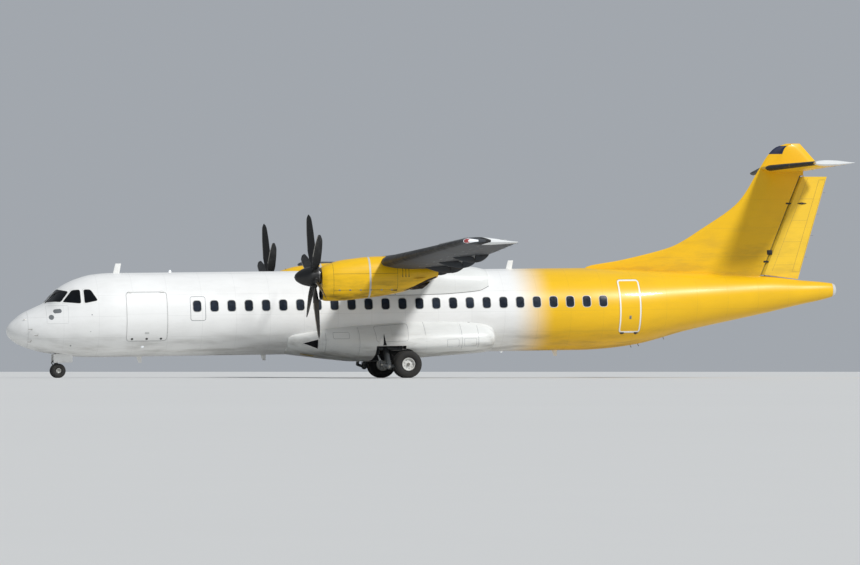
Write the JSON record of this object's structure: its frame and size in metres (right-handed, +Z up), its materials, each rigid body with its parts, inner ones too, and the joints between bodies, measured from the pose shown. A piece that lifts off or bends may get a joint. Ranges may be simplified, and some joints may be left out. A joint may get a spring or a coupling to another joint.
{
  "type": "twin turboprop airliner",
  "caption": "High-wing regional airliner with propeller engines, T-tail, hinged doors, flaps, control surfaces and wheels, parked on its landing gear.",
  "frame": {"origin": "bottom centre of the bounding box, on the ground under the middle of the aircraft", "axes": "+X aft, +Y to starboard, +Z up"},
  "size_m": [27.149, 27.05, 7.6457],
  "materials": {
    "radome_white": "satin painted composite",
    "white_paint": "gloss white paint on aluminium skin",
    "flight_deck_glass": "dark tinted glazing",
    "door_yellow": "gloss yellow paint on aluminium",
    "fading_paint": "gloss paint fading from white to golden yellow",
    "yellow_paint": "gloss golden yellow paint on aluminium skin",
    "fairing_white": "gloss white painted composite",
    "wing_grey": "satin light grey paint, black de-icing boots",
    "surface_grey": "satin light grey painted composite",
    "nacelle_yellow": "gloss golden yellow painted composite",
    "engine_metal": "bare engine metal",
    "propeller_black": "semi-matt black composite",
    "fin_yellow": "gloss golden yellow painted composite",
    "tail_white": "gloss paint on composite",
    "gear_steel": "grey painted steel",
    "hub_white": "gloss white painted wheel",
    "tyre_black": "matt rubber",
    "panel_white": "gloss white paint"
  },
  "bodies": {
    "airframe": {"radome": "radome_white", "flight_deck": "white_paint", "flight_deck_glazing": "flight_deck_glass", "fuselage_forward": "white_paint", "fuselage_centre": "white_paint", "fuselage_rear": "fading_paint", "fuselage_aft": "yellow_paint", "tail_cone": "yellow_paint", "belly_fairing": "fairing_white", "wing_root_fairing": "fairing_white", "wing_centre": "wing_grey", "wing_left": "wing_grey", "wing_right": "wing_grey", "nacelle_left": "nacelle_yellow", "nacelle_right": "nacelle_yellow", "engine_left": "engine_metal", "engine_right": "engine_metal", "fin": "fin_yellow", "tailplane": "tail_white", "main_leg_left": "gear_steel", "main_leg_right": "gear_steel", "nose_leg": "gear_steel", "nose_gear_door_left": "panel_white", "nose_gear_door_right": "panel_white"},
    "cargo_door": {"cargo_door": "white_paint"},
    "passenger_door": {"passenger_door": "door_yellow"},
    "flap_inboard_left": {"flap_inboard_left": "surface_grey"},
    "flap_outboard_left": {"flap_outboard_left": "surface_grey"},
    "flap_inboard_right": {"flap_inboard_right": "surface_grey"},
    "flap_outboard_right": {"flap_outboard_right": "surface_grey"},
    "aileron_left": {"aileron_left": "surface_grey"},
    "aileron_right": {"aileron_right": "surface_grey"},
    "propeller_left": {"spinner_left": "propeller_black", "blade_left_1": "propeller_black", "blade_left_2": "propeller_black", "blade_left_3": "propeller_black", "blade_left_4": "propeller_black", "blade_left_5": "propeller_black", "blade_left_6": "propeller_black"},
    "propeller_right": {"spinner_right": "propeller_black", "blade_right_1": "propeller_black", "blade_right_2": "propeller_black", "blade_right_3": "propeller_black", "blade_right_4": "propeller_black", "blade_right_5": "propeller_black", "blade_right_6": "propeller_black"},
    "rudder": {"rudder": "fin_yellow"},
    "elevator_left": {"elevator_left": "tail_white"},
    "elevator_right": {"elevator_right": "tail_white"},
    "main_wheels_left": {"main_tyre_left_outer": "tyre_black", "main_tyre_left_inner": "tyre_black", "main_hubs_left": "hub_white"},
    "main_wheels_right": {"main_tyre_right_inner": "tyre_black", "main_tyre_right_outer": "tyre_black", "main_hubs_right": "hub_white"},
    "nose_steering": {"nose_fork": "gear_steel"},
    "nose_wheels": {"nose_tyre_left": "tyre_black", "nose_tyre_right": "tyre_black", "nose_hubs": "hub_white"}
  },
  "joints": [
    {"name": "propeller_left_spin", "type": "hinge", "parent": "airframe", "child": "propeller_left", "pos_m": [-4.52897, -4.05, 3.12996], "axis": [0.9982, 0, 0.0593], "continuous": true},
    {"name": "propeller_right_spin", "type": "hinge", "parent": "airframe", "child": "propeller_right", "pos_m": [-4.52897, 4.05, 3.12996], "axis": [0.9982, 0, 0.0593], "continuous": true},
    {"name": "main_wheels_left_roll", "type": "hinge", "parent": "airframe", "child": "main_wheels_left", "pos_m": [-1.18616, -2.05, 0.43014], "axis": [0, 1, 0], "continuous": true},
    {"name": "main_wheels_right_roll", "type": "hinge", "parent": "airframe", "child": "main_wheels_right", "pos_m": [-1.18616, 2.05, 0.43014], "axis": [0, 1, 0], "continuous": true},
    {"name": "nose_steering_turn", "type": "hinge", "parent": "airframe", "child": "nose_steering", "pos_m": [-11.99051, 0, 0.62245], "axis": [0.0157, 0, -0.9999], "range_deg": [-60, 60]},
    {"name": "nose_wheels_roll", "type": "hinge", "parent": "nose_steering", "child": "nose_wheels", "pos_m": [-11.95426, 0, 0.22497], "axis": [0, 1, 0], "continuous": true},
    {"name": "flap_inboard_left_hinge", "type": "hinge", "parent": "airframe", "child": "flap_inboard_left", "pos_m": [-0.41424, -1.5, 3.2428], "axis": [0, 1, 0], "range_deg": [0, 35]},
    {"name": "flap_outboard_left_hinge", "type": "hinge", "parent": "airframe", "child": "flap_outboard_left", "pos_m": [-0.41472, -4.64, 3.24396], "axis": [0.0238, 0.998, -0.0578], "range_deg": [0, 35]},
    {"name": "flap_inboard_right_hinge", "type": "hinge", "parent": "airframe", "child": "flap_inboard_right", "pos_m": [-0.41424, 1.5, 3.2428], "axis": [0, 1, 0], "range_deg": [0, 35]},
    {"name": "flap_outboard_right_hinge", "type": "hinge", "parent": "airframe", "child": "flap_outboard_right", "pos_m": [-0.41472, 4.64, 3.24396], "axis": [-0.0238, 0.998, 0.0578], "range_deg": [0, 35]},
    {"name": "aileron_left_hinge", "type": "hinge", "parent": "airframe", "child": "aileron_left", "pos_m": [-0.60049, -9.76, 3.7742], "axis": [0.0203, 0.9988, -0.045], "range_deg": [-14, 14]},
    {"name": "aileron_right_hinge", "type": "hinge", "parent": "airframe", "child": "aileron_right", "pos_m": [-0.60049, 9.76, 3.7742], "axis": [-0.0203, 0.9988, 0.045], "range_deg": [-14, 14]},
    {"name": "rudder_hinge", "type": "hinge", "parent": "airframe", "child": "rudder", "pos_m": [11.14883, 0, 3.31331], "axis": [0.376, 0, 0.9266], "range_deg": [-27, 27]},
    {"name": "elevator_left_hinge", "type": "hinge", "parent": "airframe", "child": "elevator_left", "pos_m": [12.50581, -0.45, 6.83799], "axis": [-0.0465, 0.9989, -0.0007], "range_deg": [-23, 13]},
    {"name": "elevator_right_hinge", "type": "hinge", "parent": "airframe", "child": "elevator_right", "pos_m": [12.50581, 0.45, 6.83799], "axis": [0.0465, 0.9989, 0.0007], "range_deg": [-23, 13]},
    {"name": "passenger_door_hinge", "type": "hinge", "parent": "airframe", "child": "passenger_door", "pos_m": [6.29896, -1.04398, 1.43683], "axis": [0.986, 0.1658, 0.0155], "range_deg": [0, 138]},
    {"name": "cargo_door_hinge", "type": "hinge", "parent": "airframe", "child": "cargo_door", "pos_m": [-9.33262, -1.21367, 2.68745], "axis": [-0.9999, 0, -0.0157], "range_deg": [0, 100]}
  ],
  "couplings": [
    {"joint": "flap_outboard_left_hinge", "follows": "flap_inboard_left_hinge", "ratio": 1},
    {"joint": "flap_inboard_right_hinge", "follows": "flap_inboard_left_hinge", "ratio": 1},
    {"joint": "flap_outboard_right_hinge", "follows": "flap_inboard_left_hinge", "ratio": 1},
    {"joint": "aileron_right_hinge", "follows": "aileron_left_hinge", "ratio": -1},
    {"joint": "elevator_right_hinge", "follows": "elevator_left_hinge", "ratio": 1}
  ]
}
